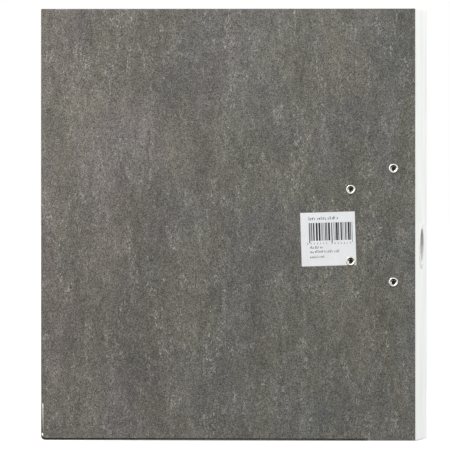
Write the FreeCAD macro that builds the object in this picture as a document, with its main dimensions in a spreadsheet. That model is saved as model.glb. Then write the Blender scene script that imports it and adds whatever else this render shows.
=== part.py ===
import FreeCAD, Part
import os
import re
import Sketcher

# Lever arch file standing on its bottom edges, millimetres.
# +Z is up, +X points to the spine, -Y is the back cover and +Y the front cover.
# The origin is the centre of the footprint, so x = 0 and y = 0 are the middle of the overall box.

SIZES = {
    # Overall, the metal rims left out
    "cover_depth": 280.0,
    "spine_width": 80.0,
    "cover_height": 320.0,
    # Covers: grey board between an outer paper and a lining paper
    "board_thick": 2.0,
    "paper_thick": 0.2,
    "turn_in": 4.0,
    "corner_radius": 3.0,
    # Folding edges beside the spine
    "fold_inset": 0.8,
    "fold_gap": 1.0,
    "fold_rod": 0.7,
    "fold_web": 0.3,
    "lining_gap": 2.2,
    # Metal guards on the bottom edges
    "guard_thick": 0.3,
    "guard_leg": 2.2,
    "guard_stop": 36.0,
    "guard_rise": 27.0,
    # Finger ring through the spine
    "ring_height": 144.0,
    "ring_bore": 12.5,
    "ring_sleeve": 0.5,
    "ring_outer": 17.0,
    "ring_proud": 0.7,
    "backing_thick": 0.5,
    "ring_lip": 0.6,
    # Rimmed slots in the front cover, with room all round the arch wire
    "slot_end_room": 1.3,
    "slot_side_room": 2.55,
    "slot_wall": 0.3,
    "slot_rim": 3.0,
    "rim_proud": 0.6,
    "rim_inner": 0.4,
    # Adhesive label on the back cover
    "label_width": 40.7,
    "label_height": 39.7,
    "label_thick": 0.1,
    "label_setback": 65.1,
    "label_level": 149.4,
    "label_turn": 1.8,
    "label_gap": 0.1,
    # Mechanism plate and its four tubular rivets
    "mech_level": 159.5,
    "rivet_setback": 16.5,
    "rivet_outer_half": 42.1,
    "rivet_inner_half": 26.5,
    "rivet_column_gap": 31.8,
    "rivet_shank": 2.1,
    "rivet_bore": 1.55,
    "rivet_flange": 3.6,
    "rivet_head": 3.3,
    "rivet_rise": 0.7,
    "rivet_floor": 1.2,
    "plate_thick": 0.9,
    "plate_end_margin": 10.0,
    "plate_near": 7.5,
    "plate_far_margin": 8.0,
    "near_corner": 6.0,
    "far_corner": 8.0,
    "waist_start": 17.0,
    "waist_end": 23.0,
    "waist_depth": 6.0,
    "plate_round": 3.0,
    "bead_margin": 4.3,
    "bead_width": 3.0,
    "bead_height": 0.8,
    "bead_end": 22.0,
    "ear_thick": 1.2,
    "ear_foot_half": 6.5,
    "ear_eye": 4.5,
    "ear_shoulder": 4.0,
    "ear_room": 0.4,
    # Posts, 80 mm apart for two-hole punched paper
    "hole_half": 40.0,
    "post_setback": 36.0,
    "post_radius": 2.5,
    "tip_radius": 1.8,
    "tip_flat": 0.3,
    "tip_height": 0.7,
    "post_foot": 4.0,
    "foot_height": 1.0,
    # Arch bent from one round wire
    "wire_radius": 2.2,
    "arch_setback": 6.0,
    "arch_bend": 4.0,
    "arch_gap": 0.1,
    "arch_lift": 1.0,
    "arch_headroom": 9.1,
    "crank_reach": 11.5,
    "crank_room": 1.3,
    "loop_room": 1.0,
    "loop_wall": 1.0,
    "loop_foot": 2.0,
    "run_fit": 0.05,
    # Lever, its pin and its roller
    "pivot_side": 12.0,
    "lever_headroom": 8.25,
    "lever_half": 6.0,
    "sheet_thick": 1.2,
    "lever_top": 4.2,
    "lever_heel": 4.2,
    "lever_knee": 14.0,
    "knee_depth": 3.4,
    "handle_drop": 2.6,
    "handle_taper": 10.5,
    "handle_flat": 4.5,
    "arm_end": 2.9,
    "thumb_radius": 2.2,
    "thumb_bore": 1.0,
    "pin_radius": 1.8,
    "pin_head": 2.8,
    "head_height": 0.7,
    "roller_radius": 3.5,
    "roller_seat": 0.65,
    "roller_room": 0.3,
    "roller_edge": 0.4,
    "pin_room": 0.7,
    "axle_radius": 1.5,
    "axle_head": 2.2,
    # Paper compressor bar, which slides on the posts
    "bar_level": 12.0,
    "bar_half_width": 8.0,
    "bar_end_margin": 14.0,
    "bar_corner": 5.0,
    "lip_margin": 6.0,
    "bar_hole_room": 0.8,
    "bar_thick": 1.2,
    "bar_lip": 3.0,
    "clip_thick": 0.6,
    "clip_half_width": 6.0,
    "clip_inner": 10.0,
    "clip_outer": 6.0,
    "clip_fin": 3.0,
    "clip_rivet": 1.2,
    "clip_rivet_margin": 2.5,
    "clip_rivet_head": 0.6,
}

doc = FreeCAD.newDocument("LeverArchFile")
sheet = doc.addObject("Spreadsheet::Sheet", "Sizes")
for row, (alias, number) in enumerate(SIZES.items(), start=1):
    sheet.set(f"A{row}", alias.replace("_", " "))
    sheet.set(f"B{row}", str(number))
    sheet.setAlias(f"B{row}", alias)
doc.recompute()

# Dimensions that follow from the sheet's, as expressions of them
FOLLOWING = {
    # Covers and spine
    "panel_thick": "board_thick + 2*paper_thick",
    "core_far": "board_thick + paper_thick",
    "spine_face": "cover_depth/2 - ring_proud/2",
    "cover_run": "cover_depth - guard_thick",
    "fold_end": "fold_inset + fold_gap",
    "slant_start": "fold_end - paper_thick",
    "lining_end": "fold_inset + lining_gap",
    "core_low": "guard_thick + paper_thick",
    "core_high": "cover_height - paper_thick",
    "lining_low": "guard_thick + turn_in",
    "lining_high": "cover_height - turn_in",
    "mech_floor": "-spine_width/2 + panel_thick + plate_thick",
    "through_start": "-2*panel_thick",
    "through_run": "4*panel_thick",
    # Posts and arch: they fill the file's inner width, and the wire clears the plate
    "inner_height": "spine_width - 2*panel_thick - plate_thick",
    "post_height": "inner_height - arch_headroom - wire_radius - ring_radius",
    "post_line": "-post_setback",
    "ring_radius": "post_setback/2 - arch_setback/2",
    "ring_foot": "post_height + arch_gap",
    "arch_line": "-arch_setback",
    "arch_level": "wire_radius + arch_lift",
    "crank_line": "arch_line - crank_reach",
    "crank_half": "pivot_side + ear_foot_half + wire_radius + crank_room",
    "loop_bore": "wire_radius + run_fit",
    "loop_outer": "loop_bore + loop_wall",
    "loop_near": "crank_half + arch_bend + loop_room",
    "loop_far": "hole_half - arch_bend - loop_room",
    "slot_length": "2*ring_radius + 2*wire_radius + 2*slot_end_room",
    "slot_width": "2*wire_radius + 2*slot_side_room",
    "slot_line": "-rivet_setback - arch_setback/2 - post_setback/2",
    # Lever: its roller rests just above the crank
    "pivot_line": "-pivot_side",
    "roller_arm": "roller_radius + pin_radius + pin_room",
    "roller_level": "arch_level + wire_radius + roller_seat + roller_radius",
    "pivot_level": "roller_level + roller_arm",
    "roller_half": "lever_half - sheet_thick - roller_room",
    "axle_head_height": "sheet_thick/2",
    "ear_inner": "lever_half + axle_head_height + ear_room",
    "ear_outer": "ear_inner + ear_thick",
    "lever_reach": "inner_height - pivot_level - lever_headroom",
    "handle_top": "lever_top - handle_drop",
    "handle_low": "handle_top - sheet_thick",
    # Plate
    "plate_far": "post_setback + plate_far_margin",
    "plate_half": "hole_half + plate_end_margin",
    "bead_start": "-rivet_column_gap + bead_margin",
    "bead_reach": "plate_half - bead_end",
    # Compressor bar
    "bar_top": "bar_level + bar_thick",
    "bar_half_length": "hole_half + bar_end_margin",
    "bar_hole": "post_radius + bar_hole_room",
    "clip_top": "bar_top + clip_thick",
    "clip_rivet_line": "hole_half - clip_inner + clip_rivet_margin",
}

# Where each group of sub-parts is placed: the covers' and spine's frames lie on their
# outer faces at the spine, the mechanism's on its plate's upper face and outer rivet column
BACK_FRAME = ("spine_face", "-spine_width/2", "0")
FRONT_FRAME = ("spine_face", "spine_width/2", "0")
SPINE_FRAME = ("spine_face", "0", "0")
RING_FRAME = ("spine_face", "0", "ring_height")
LABEL_FRAME = ("spine_face - label_setback", "-spine_width/2", "label_level")
MECH_FRAME = ("spine_face - rivet_setback", "mech_floor", "mech_level")

X_AXIS = FreeCAD.Vector(1, 0, 0)
Y_AXIS = FreeCAD.Vector(0, 1, 0)
Z_AXIS = FreeCAD.Vector(0, 0, 1)

sub_parts = []


def bound(text):
    """Expression of the sheet's cells alone, with every following dimension written out."""
    def written_out(match):
        word = match.group(0)
        return f"({bound(FOLLOWING[word])})" if word in FOLLOWING else f"Sizes.{word}"

    return re.sub(r"\b[a-z]+(?:_[a-z]+)+\b", written_out, str(text))


def value(text):
    return float(sheet.evalExpression(bound(text)))


def bind(thing, **expressions):
    for name, text in expressions.items():
        thing.setExpression(name, bound(text))


def place(thing, base, rotation=None):
    """Placement with a fixed rotation and a base bound to the sheet."""
    thing.Placement = FreeCAD.Placement(FreeCAD.Vector(), rotation or FreeCAD.Rotation())
    for axis, text in zip("xyz", base):
        thing.setExpression(f"Placement.Base.{axis}", bound(text))
    return thing


def box(name, low, high):
    """Box between two corners."""
    thing = doc.addObject("Part::Box", name)
    place(thing, low)
    spans = [f"({top}) - ({bottom})" for bottom, top in zip(low, high)]
    bind(thing, Length=spans[0], Width=spans[1], Height=spans[2])
    return thing


def rod(name, start, axis, length, radius):
    """Cylinder from a start point along an axis."""
    thing = doc.addObject("Part::Cylinder", name)
    place(thing, start, FreeCAD.Rotation(Z_AXIS, axis))
    bind(thing, Height=length, Radius=radius)
    return thing


def elbow(name, centre, first, second, sweep, bend_radius, radius):
    """Piece of a ring: it starts on the first direction and turns towards the second."""
    thing = doc.addObject("Part::Torus", name)
    place(thing, centre, FreeCAD.Rotation(first, second, first.cross(second), "ZXY"))
    thing.Angle1 = -180
    thing.Angle2 = 180
    thing.Angle3 = sweep
    bind(thing, Radius1=bend_radius, Radius2=radius)
    return thing


def fuse(name, *pieces):
    thing = doc.addObject("Part::MultiFuse", name)
    thing.Shapes = list(pieces)
    thing.Refine = True
    return thing


def cut(name, base, tool):
    thing = doc.addObject("Part::Cut", name)
    thing.Base = base
    thing.Tool = tool
    thing.Refine = True
    return thing


def outline(owner, name, plane, offset, points):
    """Closed polygon sketch whose corners are all bound to the sheet."""
    sketch = owner.newObject("Sketcher::SketchObject", name)
    support = next(item for item in owner.Origin.OriginFeatures if item.Role == plane)
    sketch.AttachmentSupport = [(support, "")]
    sketch.MapMode = "FlatFace"
    sketch.setExpression("AttachmentOffset.Base.z", bound(offset))
    corners = [FreeCAD.Vector(value(across), value(along), 0) for across, along in points]
    count = len(corners)
    for index in range(count):
        sketch.addGeometry(Part.LineSegment(corners[index], corners[(index + 1) % count]))
    for index in range(count):
        sketch.addConstraint(Sketcher.Constraint("Coincident", index, 2, (index + 1) % count, 1))
    for index, pair in enumerate(points):
        for kind, label, text, start in (
            ("DistanceX", "across", pair[0], corners[index].x),
            ("DistanceY", "along", pair[1], corners[index].y),
        ):
            number = sketch.addConstraint(Sketcher.Constraint(kind, -1, 1, index, 1, start))
            sketch.renameConstraint(number, f"{label}{index}")
            sketch.setExpression(f"Constraints.{label}{index}", bound(text))
    return sketch


def pad(name, plane, start, length, points):
    """Body with one padded polygon.

    XY_Plane: corners are (x, y) and the pad rises along +Z from z = start.
    XZ_Plane: corners are (x, z) and the pad runs along +Y from y = start.
    YZ_Plane: corners are (y, z) and the pad runs along +X from x = start.
    """
    owner = doc.addObject("PartDesign::Body", name)
    backwards = plane == "XZ_Plane"
    sketch = outline(owner, f"{name}_outline", plane, f"-({start})" if backwards else start, points)
    feature = owner.newObject("PartDesign::Pad", f"{name}_pad")
    feature.Profile = sketch
    feature.Reversed = backwards
    feature.setExpression("Length", bound(length))
    doc.recompute()
    return owner


def round_edges(owner, radius, axis, wanted):
    """Fillet the straight edges along an axis whose middle passes the wanted test."""
    base = owner.Tip
    names = []
    for index, edge in enumerate(base.Shape.Edges, start=1):
        if not isinstance(edge.Curve, Part.Line):
            continue
        middle = edge.valueAt((edge.FirstParameter + edge.LastParameter) / 2)
        if abs(edge.Curve.Direction.dot(axis)) > 0.999 and wanted(middle):
            names.append(f"Edge{index}")
    feature = owner.newObject("PartDesign::Fillet", f"{owner.Name}_round{len(owner.Group)}")
    feature.Base = (base, names)
    feature.setExpression("Radius", bound(radius))
    doc.recompute()
    return owner


def turned(name, points, centre, axis, radial):
    """Revolved solid. Corners are (radius, distance along the axis) from the centre."""
    owner = doc.addObject("PartDesign::Body", name)
    sketch = outline(owner, f"{name}_outline", "XZ_Plane", "0", points)
    feature = owner.newObject("PartDesign::Revolution", f"{name}_turn")
    feature.Profile = sketch
    feature.ReferenceAxis = (sketch, ["V_Axis"])
    feature.Angle = 360
    place(owner, centre, FreeCAD.Rotation(radial, axis.cross(radial), axis, "ZXY"))
    doc.recompute()
    return owner


def stadium(name, centre_x, centre_z, low_y, high_y, length, width):
    """Upright plate with half-round ends, its long way along X."""
    reach = f"(({length})/2 - ({width})/2)"
    thick = f"({high_y}) - ({low_y})"
    middle = box(
        f"{name}_middle",
        (f"{centre_x} - {reach}", low_y, f"{centre_z} - ({width})/2"),
        (f"{centre_x} + {reach}", high_y, f"{centre_z} + ({width})/2"),
    )
    near = rod(f"{name}_near", (f"{centre_x} - {reach}", low_y, centre_z), Y_AXIS, thick, f"({width})/2")
    far = rod(f"{name}_far", (f"{centre_x} + {reach}", low_y, centre_z), Y_AXIS, thick, f"({width})/2")
    return fuse(name, middle, near, far)


def sub_part(label, thing, frame):
    """Name a finished piece and put it in its frame."""
    thing.Label = label
    for axis, text in zip("xyz", frame):
        thing.setExpression(f"Placement.Base.{axis}", bound(text))
    sub_parts.append(thing)


# (x, z) of the four tubular rivets in the mechanism's frame
RIVET_SPOTS = [
    ("0", "rivet_outer_half"),
    ("0", "-rivet_outer_half"),
    ("-rivet_column_gap", "rivet_inner_half"),
    ("-rivet_column_gap", "-rivet_inner_half"),
]


def rivet_holes(name, origin_x, origin_z):
    """Four cylinders along Y through the rivet positions."""
    holes = [
        rod(
            f"{name}{index}", (f"{origin_x} + ({x})", "through_start", f"{origin_z} + ({z})"),
            Y_AXIS, "through_run", "rivet_shank",
        )
        for index, (x, z) in enumerate(RIVET_SPOTS)
    ]
    return fuse(name, *holes)


# ---------------------------------------------------------------- covers

def cover(side, inward):
    """Board, outer paper, lining and edge guard of one cover.

    The frame's origin is the outer corner at the spine. x is negative towards the fore
    edge, and inward is +1 or -1 for the way from the outer face to the inside of the file.
    """
    def depth(text):
        return f"{inward}*({text})"

    def slab(name, skin, low, high, bottom, top):
        """Section from the fore edge to the fold, slanted on its inner corner there."""
        return pad(name, "XY_Plane", bottom, f"({top}) - ({bottom})", [
            (f"-cover_run + {skin}", depth(low)),
            ("-fold_end", depth(low)),
            ("-fold_end", depth("slant_start")),
            (f"-fold_end - ({high} - slant_start)", depth(high)),
            (f"-cover_run + {skin}", depth(high)),
        ])

    def lining_block(name, end):
        return pad(name, "XY_Plane", "lining_low", "lining_high - lining_low", [
            ("-cover_run + turn_in", depth("core_far")),
            (end, depth("core_far")),
            (end, depth("panel_thick")),
            ("-cover_run + turn_in", depth("panel_thick")),
        ])

    def fore_bottom(middle):
        return middle.x < -value("cover_run") + 1 and middle.z < 1

    envelope = slab(f"{side}_envelope", "0", "0", "panel_thick", "guard_thick", "cover_height")
    round_edges(envelope, "corner_radius", Y_AXIS, fore_bottom)
    board = slab(f"{side}_core", "paper_thick", "paper_thick", "core_far", "core_low", "core_high")
    round_edges(board, "corner_radius - paper_thick", Y_AXIS, fore_bottom)

    # The outer paper is turned in round the edges, and the lining fills the rest flush
    lining = lining_block(f"{side}_lining_sheet", "-lining_end")
    lining_room = lining_block(f"{side}_lining_room", "-fold_inset")
    wrap = cut(f"{side}_paper", envelope, fuse(f"{side}_paper_inside", board, lining_room))

    # Folded metal guard: an L of thin channel along the bottom and up the fore edge
    guard_start = "-guard_thick" if inward > 0 else "-(panel_thick + guard_thick)"
    guard_solid = pad(f"{side}_guard_solid", "XZ_Plane", guard_start, "panel_thick + 2*guard_thick", [
        ("-cover_depth", "0"),
        ("-guard_stop", "0"),
        ("-guard_stop", "guard_leg"),
        ("-cover_depth + guard_leg", "guard_leg"),
        ("-cover_depth + guard_leg", "guard_rise"),
        ("-cover_depth", "guard_rise"),
    ])
    round_edges(guard_solid, "corner_radius + guard_thick", Y_AXIS, fore_bottom)
    guard = cut(f"{side}_guard", guard_solid, envelope)
    return board, wrap, lining, guard


# Back cover: four rivet holes through every layer
back_board, back_wrap, back_lining, back_guard = cover("back", 1)
back_holes = rivet_holes("back_holes", "-rivet_setback", "mech_level")
sub_part("back_board", cut("BackBoard", back_board, back_holes), BACK_FRAME)
sub_part("back_wrap", cut("BackWrap", back_wrap, back_holes), BACK_FRAME)
sub_part("back_liner", cut("BackLiner", back_lining, back_holes), BACK_FRAME)
sub_part("back_edge_guard", back_guard, BACK_FRAME)

# Front cover: two long slots for the arch tops, lined with metal eyelets
front_board, front_wrap, front_lining, front_guard = cover("front", -1)
SLOT_LEVELS = {"upper": "(mech_level + hole_half)", "lower": "(mech_level - hole_half)"}
slot_holes = fuse("slot_holes", *[
    stadium(
        f"slot_hole_{name}", "slot_line", level, "-2*panel_thick", "2*panel_thick",
        "(slot_length + 2*slot_wall)", "(slot_width + 2*slot_wall)",
    )
    for name, level in SLOT_LEVELS.items()
])
sub_part("front_board", cut("FrontBoard", front_board, slot_holes), FRONT_FRAME)
sub_part("front_wrap", cut("FrontWrap", front_wrap, slot_holes), FRONT_FRAME)
sub_part("front_liner", cut("FrontLiner", front_lining, slot_holes), FRONT_FRAME)
sub_part("front_edge_guard", front_guard, FRONT_FRAME)


def slot_eyelet(name, level):
    """Outer rim, sleeve and inner rim round one slot."""
    def ring(part, low, high, extra):
        return stadium(
            f"eyelet_{name}_{part}", "slot_line", level, low, high,
            f"(slot_length + 2*({extra}))", f"(slot_width + 2*({extra}))",
        )

    body = fuse(
        f"eyelet_{name}_body",
        ring("outer_rim", "0", "rim_proud", "slot_rim"),
        ring("sleeve", "-panel_thick", "0", "slot_wall"),
        ring("inner_rim", "-panel_thick - rim_inner", "-panel_thick", "slot_rim - slot_wall"),
    )
    opening = ring("opening", "-2*panel_thick", "2*panel_thick", "0")
    sub_part(f"slot_eyelet_{name}", cut(f"Eyelet_{name}", body, opening), FRONT_FRAME)


for slot_name, slot_level in SLOT_LEVELS.items():
    slot_eyelet(slot_name, slot_level)


# ---------------------------------------------------------------- spine

def spine_slab(name, low, high, bottom, top):
    """Section between the two folds, slanted on both inner corners."""
    half = "(spine_width/2 - fold_end)"
    slanted_half = f"({half} - ({high} - slant_start))"
    return pad(name, "XY_Plane", bottom, f"({top}) - ({bottom})", [
        (f"-{low}", f"-{half}"),
        (f"-{low}", half),
        ("-slant_start", half),
        (f"-{high}", slanted_half),
        (f"-{high}", f"-{slanted_half}"),
        ("-slant_start", f"-{half}"),
    ])


def spine_lining_block(name, half):
    return box(name, ("-panel_thick", f"-{half}", "lining_low"), ("-core_far", half, "lining_high"))


spine_envelope = spine_slab("spine_envelope", "0", "panel_thick", "guard_thick", "cover_height")
spine_core = spine_slab("spine_core", "paper_thick", "core_far", "core_low", "core_high")
spine_lining = spine_lining_block("spine_lining_sheet", "(spine_width/2 - lining_end)")
spine_lining_room = spine_lining_block("spine_lining_room", "(spine_width/2)")
spine_paper = cut("spine_paper", spine_envelope, fuse("spine_paper_inside", spine_core, spine_lining_room))
finger_hole = rod(
    "finger_hole", ("through_start", "0", "ring_height"), X_AXIS, "through_run", "ring_bore + ring_sleeve",
)
sub_part("spine_board", cut("SpineBoard", spine_core, finger_hole), SPINE_FRAME)
sub_part("spine_wrap", cut("SpineWrap", spine_paper, finger_hole), SPINE_FRAME)
sub_part("spine_liner", cut("SpineLiner", spine_lining, finger_hole), SPINE_FRAME)


def crease(name, inward):
    """Rolled paper joint on a folding edge, with the web that holds it to the spine."""
    centre_y = f"{-inward}*(spine_width/2 - fold_inset)"
    end_y = f"{-inward}*(spine_width/2 - fold_end)"
    low_y, high_y = (centre_y, end_y) if inward > 0 else (end_y, centre_y)
    roll = rod(
        f"{name}_roll", ("-fold_inset", centre_y, "core_low"), Z_AXIS, "core_high - core_low", "fold_rod",
    )
    web = box(
        f"{name}_web",
        ("-fold_inset - fold_web/2", low_y, "core_low"),
        ("-fold_inset + fold_web/2", high_y, "core_high"),
    )
    sub_part(name, fuse(f"{name}_joined", roll, web), SPINE_FRAME)


crease("rear_crease", 1)
crease("front_crease", -1)

# Finger ring: domed flange outside, sleeve through the spine, lip rolled over the backing
lip_start = "-panel_thick - backing_thick"
finger_ring = turned(
    "finger_ring_turned",
    [
        ("ring_bore", f"{lip_start} - ring_sleeve"),
        ("ring_bore + ring_sleeve + ring_lip", f"{lip_start} - ring_sleeve"),
        ("ring_bore + ring_sleeve + ring_lip", lip_start),
        ("ring_bore + ring_sleeve", lip_start),
        ("ring_bore + ring_sleeve", "0"),
        ("ring_outer", "0"),
        ("ring_outer", "ring_proud*0.35"),
        ("ring_outer - ring_proud", "ring_proud*0.85"),
        ("(ring_outer + ring_bore)/2", "ring_proud"),
        ("ring_bore + ring_proud", "ring_proud*0.85"),
        ("ring_bore", "ring_proud*0.2"),
    ],
    ("0", "0", "ring_height"), X_AXIS, Z_AXIS,
)
backing = turned(
    "finger_ring_backing_turned",
    [
        ("ring_bore + ring_sleeve", "-panel_thick - backing_thick"),
        ("ring_outer - 1", "-panel_thick - backing_thick"),
        ("ring_outer", "-panel_thick - backing_thick/2"),
        ("ring_outer", "-panel_thick"),
        ("ring_bore + ring_sleeve", "-panel_thick"),
    ],
    ("0", "0", "ring_height"), X_AXIS, Z_AXIS,
)
sub_part("finger_ring", finger_ring, RING_FRAME)
sub_part("finger_ring_backing", backing, RING_FRAME)


# ---------------------------------------------------------------- label

# Thin label, turned a little, and notched round the rivet that it meets
label_sheet = box(
    "label_sheet",
    ("-label_width/2", "-label_thick", "-label_height/2"),
    ("label_width/2", "0", "label_height/2"),
)
notch_along = "(label_setback - rivet_setback - rivet_column_gap)"
notch_rise = "(mech_level - rivet_inner_half - label_level)"
notch = rod(
    "label_notch",
    (
        f"{notch_along}*cos(label_turn * 1 deg) + {notch_rise}*sin(label_turn * 1 deg)",
        "-1",
        f"{notch_rise}*cos(label_turn * 1 deg) - {notch_along}*sin(label_turn * 1 deg)",
    ),
    Y_AXIS, "2", "rivet_flange + label_gap",
)
label = cut("Label_sheet", label_sheet, notch)
label.Placement.Rotation = FreeCAD.Rotation(-Y_AXIS, value("label_turn"))
sub_part("back_label", label, LABEL_FRAME)


# ---------------------------------------------------------------- mechanism, fixed pieces
# In the mechanism's frame x is negative away from the spine, y is the height above the
# plate and z runs along the plate.

def lever_ear(name, start):
    """Upright ear that carries the lever's pin."""
    plate = pad(f"{name}_plate", "YZ_Plane", start, "ear_thick", [
        ("-plate_thick", "pivot_line - ear_foot_half"),
        ("-plate_thick", "pivot_line + ear_foot_half"),
        ("ear_shoulder", "pivot_line + ear_foot_half"),
        ("pivot_level", "pivot_line + ear_eye"),
        ("pivot_level", "pivot_line - ear_eye"),
        ("ear_shoulder", "pivot_line - ear_foot_half"),
    ])
    eye = rod(f"{name}_eye", (start, "pivot_level", "pivot_line"), X_AXIS, "ear_thick", "ear_eye")
    return fuse(name, plate, eye)


def wire_loop(name, low, high):
    """Strap that holds the arch wire down on the plate."""
    strap = rod(
        f"{name}_strap", ("arch_line", "arch_level", low), Z_AXIS, "loop_far - loop_near", "loop_outer",
    )
    cheeks = box(
        f"{name}_cheeks",
        ("arch_line - loop_outer", "-plate_thick", low),
        ("arch_line + loop_outer", "arch_level", high),
    )
    feet = box(
        f"{name}_feet",
        ("arch_line - loop_outer - loop_foot", "-plate_thick", low),
        ("arch_line + loop_outer + loop_foot", "loop_wall", high),
    )
    return fuse(name, strap, cheeks, feet)


plate = pad("plate_sheet", "XZ_Plane", "-plate_thick", "plate_thick", [
    ("plate_near", "-plate_half + near_corner"),
    ("plate_near", "plate_half - near_corner"),
    ("plate_near - near_corner", "plate_half"),
    ("-plate_far + far_corner", "plate_half"),
    ("-plate_far", "plate_half - far_corner"),
    ("-plate_far", "plate_half - waist_start"),
    ("-plate_far + waist_depth", "plate_half - waist_end"),
    ("-plate_far + waist_depth", "-plate_half + waist_end"),
    ("-plate_far", "-plate_half + waist_start"),
    ("-plate_far", "-plate_half + far_corner"),
    ("-plate_far + far_corner", "-plate_half"),
    ("plate_near - near_corner", "-plate_half"),
])
round_edges(plate, "plate_round", Y_AXIS, lambda middle: True)
bead = pad("plate_bead", "XY_Plane", "-bead_reach", "2*bead_reach", [
    ("bead_start", "-plate_thick"),
    ("bead_start + bead_width", "-plate_thick"),
    ("bead_start + bead_width", "0"),
    ("bead_start + bead_width - bead_height", "bead_height"),
    ("bead_start + bead_height", "bead_height"),
    ("bead_start", "0"),
])
plate_solid = fuse(
    "plate_solid", plate, bead,
    lever_ear("ear_near", "crank_line + ear_inner"),
    lever_ear("ear_far", "crank_line - ear_outer"),
    wire_loop("loop_upper", "loop_near", "loop_far"),
    wire_loop("loop_lower", "-loop_far", "-loop_near"),
)
plate_holes = fuse(
    "plate_holes",
    rivet_holes("plate_rivet_holes", "0", "0"),
    rod(
        "ear_bore", ("crank_line - 2*ear_outer", "pivot_level", "pivot_line"),
        X_AXIS, "4*ear_outer", "pin_radius",
    ),
    rod("loop_bores", ("arch_line", "arch_level", "-plate_half"), Z_AXIS, "2*plate_half", "loop_bore"),
)
sub_part("base_plate", cut("BasePlate", plate_solid, plate_holes), MECH_FRAME)


def post(name, level):
    """Paper post: foot, shaft, shoulder and blunt cone that seats in the arch."""
    points = [
        ("0", "0"),
        ("post_foot", "0"),
        ("post_foot", "foot_height"),
        ("post_radius", "foot_height"),
        ("post_radius", "post_height"),
        ("tip_radius", "post_height"),
        ("tip_flat", "post_height + tip_height"),
        ("0", "post_height + tip_height"),
    ]
    shaft = turned(f"{name}_turned", points, ("0", "0", "0"), Y_AXIS, X_AXIS)
    sub_part(name, shaft, ("spine_face - rivet_setback - post_setback", "mech_floor", level))


post("post_upper", "mech_level + hole_half")
post("post_lower", "mech_level - hole_half")


def tubular_rivet(name, x, z):
    """Flange round a blind bore outside the cover, shank, and a solid head on the plate."""
    outer = "-(panel_thick + plate_thick)"
    points = [
        ("0", "rivet_rise - rivet_floor"),
        ("rivet_bore", "rivet_rise - rivet_floor"),
        ("rivet_bore", f"{outer} - rim_proud*0.4"),
        ("rivet_bore + rim_proud*0.5", f"{outer} - rim_proud"),
        ("rivet_flange - rim_proud", f"{outer} - rim_proud*0.9"),
        ("rivet_flange", f"{outer} - rim_proud*0.3"),
        ("rivet_flange", outer),
        ("rivet_shank", outer),
        ("rivet_shank", "0"),
        ("rivet_head", "0"),
        ("rivet_head", "rivet_rise*0.4"),
        ("rivet_head - rivet_rise*0.6", "rivet_rise"),
        ("0", "rivet_rise"),
    ]
    return turned(name, points, (x, "0", z), Y_AXIS, X_AXIS)


rivets = [tubular_rivet(f"rivet{index}", x, z) for index, (x, z) in enumerate(RIVET_SPOTS)]
sub_part("mechanism_rivets", fuse("Rivets", *rivets), MECH_FRAME)


def headed_pin(name, level, radius, head_radius, reach, head):
    """Pin along X with a flat head beyond its reach at each end."""
    def piece(part, start, length, size):
        return rod(f"{name}_{part}", (start, level, "pivot_line"), X_AXIS, length, size)

    return fuse(
        name,
        piece("shaft", f"crank_line - {reach}", f"2*{reach}", radius),
        piece("far_head", f"crank_line - {reach} - {head}", head, head_radius),
        piece("near_head", f"crank_line + {reach}", head, head_radius),
    )


lever_pin = headed_pin("LeverPin", "pivot_level", "pin_radius", "pin_head", "ear_outer", "head_height")
sub_part("lever_pin", lever_pin, MECH_FRAME)


# ---------------------------------------------------------------- arch

def arch_half(name, sign):
    """Ring, leg, hinge run and crank on one side of the mechanism."""
    out = Z_AXIS * sign

    def wire(part, start, axis, length):
        return rod(f"{name}_{part}", start, axis, length, "wire_radius")

    def bend(part, centre, first, second, sweep=90, bend_radius="arch_bend"):
        return elbow(f"{name}_{part}", centre, first, second, sweep, bend_radius, "wire_radius")

    post_z = f"{sign}*hole_half"
    foot_z = f"{sign}*(hole_half - arch_bend)"
    hinge_z = f"{sign}*(crank_half + arch_bend)"
    crank_z = f"{sign}*crank_half"
    bar_z = f"{sign}*(crank_half - arch_bend)"
    leg_start = ("arch_line", "arch_level + arch_bend", post_z)
    return [
        bend("ring", ("arch_line - ring_radius", "ring_foot", post_z), X_AXIS, Y_AXIS, 180, "ring_radius"),
        wire("leg", leg_start, Y_AXIS, "ring_foot - arch_level - arch_bend"),
        bend("foot", ("arch_line", "arch_level + arch_bend", foot_z), out, -Y_AXIS),
        wire("hinge", ("arch_line", "arch_level", hinge_z), out, "hole_half - crank_half - 2*arch_bend"),
        bend("turn_in", ("arch_line - arch_bend", "arch_level", hinge_z), X_AXIS, -out),
        wire("crank", ("crank_line + arch_bend", "arch_level", crank_z), X_AXIS, "crank_reach - 2*arch_bend"),
        bend("turn_out", ("crank_line + arch_bend", "arch_level", bar_z), -X_AXIS, out),
    ]


crossbar = rod(
    "arch_crossbar", ("crank_line", "arch_level", "-(crank_half - arch_bend)"),
    Z_AXIS, "2*(crank_half - arch_bend)", "wire_radius",
)
arch_solid = fuse("arch_solid", crossbar, *arch_half("arch_upper", 1), *arch_half("arch_lower", -1))


def tip_socket(name, level):
    """Conical recess in the arch's end that fits over the post's tip."""
    cone = doc.addObject("Part::Cone", name)
    place(cone, ("post_line", "ring_foot", level), FreeCAD.Rotation(Z_AXIS, Y_AXIS))
    bind(cone, Radius1="tip_radius", Radius2="tip_flat", Height="tip_height")
    return cone


sockets = fuse(
    "tip_sockets",
    tip_socket("socket_upper", "hole_half"),
    tip_socket("socket_lower", "-hole_half"),
)
sub_part("arch_wire", cut("ArchWire", arch_solid, sockets), MECH_FRAME)


# ---------------------------------------------------------------- lever and roller

def lever_point(rise, reach):
    """(y, z) of a point given from the lever's pivot."""
    return (f"pivot_level + ({rise})", f"pivot_line + ({reach})")


def across_lever(name, level, reach, half, radius):
    """Cylinder across the lever at a point given from its pivot."""
    y, z = lever_point(level, reach)
    return rod(name, (f"crank_line - {half}", y, z), X_AXIS, f"2*{half}", radius)


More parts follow.
